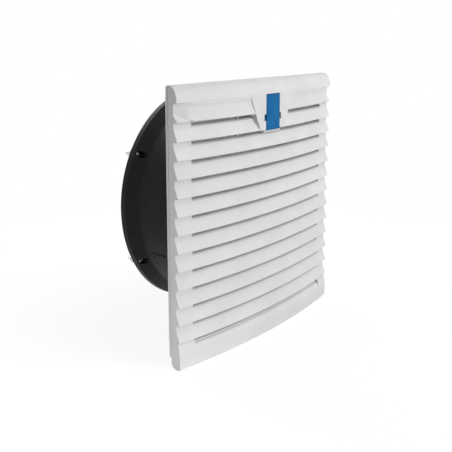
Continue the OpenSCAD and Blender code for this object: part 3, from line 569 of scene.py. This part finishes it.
bm = bmesh.new()
bmesh.ops.create_grid(bm, x_segments=mat_columns, y_segments=mat_rows, size=0.5)
bmesh.ops.scale(bm, vec=(mat_high[0] - mat_low[0], mat_high[2] - mat_low[2], 1), verts=bm.verts)
upright = Matrix.Rotation(math.radians(90), 3, "X")
bmesh.ops.rotate(bm, cent=(0, 0, 0), matrix=upright, verts=bm.verts)
bmesh.ops.translate(bm, vec=(0, mat_low[1], (mat_low[2] + mat_high[2]) / 2), verts=bm.verts)
for layer in range(mat_layers):
    level = mat_low[1] + layer * mat_layer - hair
    faces = [f for f in bm.faces if all(v.co.y > level for v in f.verts)]
    push(bm, faces, (0, mat_layer, 0))
    if layer > 0:
        bmesh.ops.delete(bm, geom=faces, context="FACES")
bmesh.ops.recalc_face_normals(bm, faces=bm.faces)
for v in bm.verts:
    x, y, z = v.co
    inset_x = min(x - mat_low[0], mat_high[0] - x)
    inset_z = min(z - mat_low[2], mat_high[2] - z)
    on_rim = min(inset_x, inset_z) < mat_rim
    fluff = noise.fractal(Vector((x, y, z)) * mat_fluff_spots, *mat_fluff_grain)
    if y > mat_high[1] - hair:
        pillow = (math.cos(math.pi * x / rib_step) * math.cos(math.pi * z / rib_step)) ** 2
        v.co.y += mat_swell * pillow - (mat_back_rim_sink if on_rim else 0.0)
    elif y < mat_low[1] + hair:
        v.co.y += mat_front_sink + mat_front_fluff * fluff
        v.co.y += mat_front_rim_sink if on_rim else 0.0
    pull = mat_side_sink + mat_side_fluff * fluff
    v.co.x -= math.copysign(pull, x) if inset_x < mat_side else 0.0
    v.co.z -= math.copysign(pull, z) if inset_z < mat_side else 0.0
mat = piece_from(bm, "fibre_mat", fibre, "frame_body", ["filter_mat"], crease=180)
rounding = mat.modifiers.new("soft_edges", "SUBSURF")
rounding.levels = rounding.render_levels = 1


# Hinge pins and latch pin: plain ground steel pins with broken ends.
# The hinge pins stay with the frame, and the cover turns on them.
# The latch pin stays with the cover, and the lever turns on it.
pin_edge = 0.0003

pin_steel = new_finish("pin_steel", paint(190, 191, 193), rough=0.28, metal=1.0)
vary_gloss(pin_steel, grain(pin_steel, spots=400, detail=3, stretch=(6, 1, 1)),
    smooth=0.20, rough=0.36)
dimple(pin_steel, grain(pin_steel, spots=1200, detail=2, stretch=(3, 0.3, 0.3)),
    depth=0.00003, strength=0.3)
for node, name, body in (
    ("hinge_pins", "hinge_steel_pins", "frame_body"),
    ("latch_pin", "latch_steel_pin", "cover"),
):
    pins = piece_from(merged_copy(node), name, pin_steel, body, [node])
    break_edges(pins, pin_edge)


# Front cover: the bowed louvre grille that swings down on the hinge pins.
# One moulding in the frame's light grey plastic, with every louvre tip slightly rounded.
# Only its long edges are broken, so that the corners of the slots stay crisp.
cover_weld = 1.3e-4
cover_edge = 0.0003
cover_edge_shortest = 0.006

cover = piece_from(merged_copy("front_cover", cover_weld), "louvre_cover", grey_plastic, "cover",
    ["front_cover"], crease=22)
break_edges(cover, cover_edge, cover_edge_shortest)


# Latch lever: the blue release lever in its pocket at the top of the cover.
# Moulded in through-coloured plastic, it turns on the latch pin.
lever_edge = 0.0004

blue_plastic = new_finish("blue_plastic", paint(24, 100, 155), rough=0.42, shine=0.06)
tint(blue_plastic, grain(blue_plastic, spots=60, detail=4),
    dark=paint(21, 95, 149), light=paint(27, 104, 160))
vary_gloss(blue_plastic, grain(blue_plastic, spots=160, detail=3), smooth=0.36, rough=0.50)
dimple(blue_plastic, grain(blue_plastic, spots=1500, detail=2), depth=0.00005, strength=0.3)
lever = piece_from(merged_copy("latch_lever"), "release_lever", blue_plastic, "lever",
    ["latch_lever"])
break_edges(lever, lever_edge)


# Stage: a pale floor under the cover's lip, white all round, and soft studio light.
# The floor keeps the shadow and fades into the white further out.
# What the camera sees of floor and sky is set apart from the light that they throw on the part.
floor_level = cad_box[0][2]
floor_gap = 0.0003
floor_half = 6
bounce_grey = 0.6
# Painted light: a glowing patch on the floor beside the barrel, which the camera never sees,
# lights the part's lower side and bottom from below.
pool_spot = (-0.42, 0.14, floor_level)
pool_reach = (0.10, 0.60)
pool_strength = 0.95
shadow_grey = 0.24
floor_glow = 0.83
white_reach = (0.25, 0.75)
white_strength = 1.0
sky_strength = 0.24


def wired(tree, kind, *feeds):
    """New shader node with its first inputs fed in order."""
    joint = tree.nodes.new(kind)
    for socket, feed in zip(joint.inputs, feeds):
        tree.links.new(feed, socket)
    return joint


def matt_grey(tree, grey):
    """Matt coat of one grey."""
    coat = tree.nodes.new("ShaderNodeBsdfDiffuse")
    coat.inputs["Color"].default_value = (grey, grey, grey, 1)
    return coat.outputs[0]


def white_light(tree, kind, strength):
    """Even white light from a floor or a sky."""
    light = tree.nodes.new(kind)
    light.inputs["Color"].default_value = (1, 1, 1, 1)
    light.inputs["Strength"].default_value = strength
    return light.outputs[0]


def soft_step(tree, value, reach, first, last):
    """Level that runs softly from first to last while the value passes a stretch."""
    step = wired(tree, "ShaderNodeMapRange", value)
    step.interpolation_type = "SMOOTHSTEP"
    step.inputs["From Min"].default_value = reach[0]
    step.inputs["From Max"].default_value = reach[1]
    step.inputs["To Min"].default_value = first
    step.inputs["To Max"].default_value = last
    return step.outputs["Result"]


def looked_at(tree):
    """1 where the camera looks, straight or by way of gloss or glass, and 0 for other light."""
    path = tree.nodes.new("ShaderNodeLightPath")
    looks = path.outputs["Is Camera Ray"]
    for ray in ("Is Glossy Ray", "Is Transmission Ray"):
        either = wired(tree, "ShaderNodeMath", looks, path.outputs[ray])
        either.operation = "MAXIMUM"
        looks = either.outputs[0]
    return looks


floor_paint = bpy.data.materials.new("floor_paint")
floor_paint.use_nodes = True
tree = floor_paint.node_tree
tree.nodes.clear()
place = tree.nodes.new("ShaderNodeTexCoord").outputs["Object"]
from_pool = wired(tree, "ShaderNodeVectorMath", place)
from_pool.operation = "DISTANCE"
from_pool.inputs[1].default_value = pool_spot
from_middle = wired(tree, "ShaderNodeVectorMath", place)
from_middle.operation = "LENGTH"
# Painted light: the glow round pool_spot is added to the floor's matt bounce for every ray but
# those of the camera and of gloss.
pool = tree.nodes.new("ShaderNodeEmission")
near = soft_step(tree, from_pool.outputs["Value"], pool_reach, pool_strength, 0.0)
tree.links.new(near, pool.inputs["Strength"])
bounce_and_glow = wired(tree, "ShaderNodeAddShader", matt_grey(tree, bounce_grey), pool.outputs[0])
shaded = wired(tree, "ShaderNodeAddShader", matt_grey(tree, shadow_grey),
    white_light(tree, "ShaderNodeEmission", floor_glow))
far = soft_step(tree, from_middle.outputs["Value"], white_reach, 0.0, 1.0)
seen = wired(tree, "ShaderNodeMixShader", far, shaded.outputs[0],
    white_light(tree, "ShaderNodeEmission", white_strength))
ground = wired(tree, "ShaderNodeMixShader", looked_at(tree), bounce_and_glow.outputs[0], seen.outputs[0])
wired(tree, "ShaderNodeOutputMaterial", ground.outputs[0])

bm = bmesh.new()
bmesh.ops.create_grid(bm, x_segments=1, y_segments=1, size=floor_half)
bmesh.ops.translate(bm, vec=(0, 0, floor_level - floor_gap), verts=bm.verts)
mesh = bpy.data.meshes.new("floor")
bm.to_mesh(mesh)
bm.free()
mesh.materials.append(floor_paint)
floor = bpy.data.objects.new("floor", mesh)
bpy.context.scene.collection.objects.link(floor)

scene = bpy.context.scene
scene.view_settings.view_transform = "Standard"
scene.world = bpy.data.worlds.new("studio")
scene.world.use_nodes = True
tree = scene.world.node_tree
tree.nodes.clear()
sky = white_light(tree, "ShaderNodeBackground", sky_strength)
backdrop = white_light(tree, "ShaderNodeBackground", white_strength)
around = wired(tree, "ShaderNodeMixShader", looked_at(tree), sky, backdrop)
wired(tree, "ShaderNodeOutputWorld", around.outputs[0])

for name, spot, size, power in (
    ("key_light", (0.45, -1.6, 0.5), 1.0, 16.5),
    ("top_light", (0.15, -0.85, 1.45), 0.9, 8.0),
    ("back_light", (0.35, 1.6, 0.9), 1.2, 18.0),
):
    lamp = bpy.data.lights.new(name, "AREA")
    lamp.size = size
    lamp.energy = power
    holder = bpy.data.objects.new(name, lamp)
    holder.location = spot
    holder.rotation_euler = (-Vector(spot)).to_track_quat("-Z", "Y").to_euler()
    scene.collection.objects.link(holder)


# Camera: as in the photograph, which looks at the cover from its left and a little from above.
# A small shift and a slight tilt take the place of the photograph's large shift.
camera_tilt = math.radians(78.758)
camera_turn = math.radians(-52.337)

lens = bpy.data.cameras.new("camera")
lens.sensor_width = 36
lens.lens = 59.55
lens.shift_y = -0.1
lens.clip_start = 0.01
camera = bpy.data.objects.new("camera", lens)
camera.location = (-0.7564, -0.541, 0.2111)
camera.rotation_euler = (camera_tilt, 0, camera_turn)
scene.collection.objects.link(camera)
scene.camera = camera
